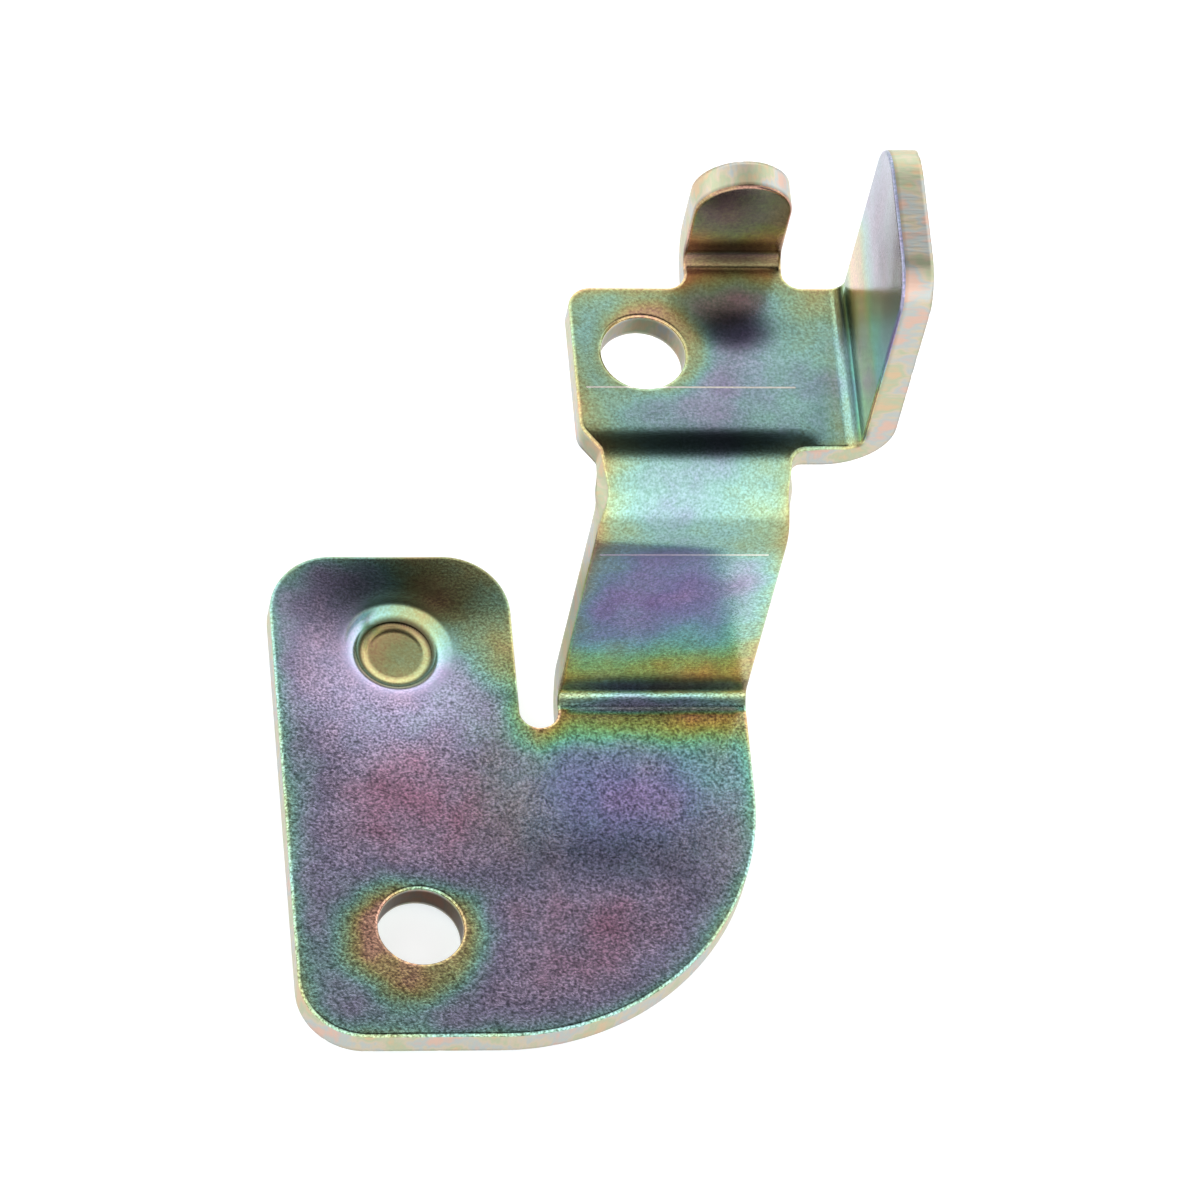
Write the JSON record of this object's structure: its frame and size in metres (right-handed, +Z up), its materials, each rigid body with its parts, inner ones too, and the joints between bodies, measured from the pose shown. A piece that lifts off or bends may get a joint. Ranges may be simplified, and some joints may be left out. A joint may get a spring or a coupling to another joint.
{
  "type": "stamped metal bracket",
  "caption": "Folded steel bracket: foot plate with bolt hole and locating dimple, upright neck, shelf with bolt hole, side flange and round-ended tab.",
  "frame": {"origin": "on the axis of the main bolt hole, where it meets the underside of the foot", "axes": "+Z up, out of the foot's upper side; +Y away from the main bolt hole, towards the neck, the shelf and the tab; +X to the right, towards the side flange"},
  "size_m": [0.0561, 0.069, 0.0686],
  "materials": {
    "bracket": "zinc plated and chromate passivated, a satin rainbow film of purple, teal, green and gold"
  },
  "bodies": {
    "root": {"bracket": "bracket"}
  },
  "joints": []
}
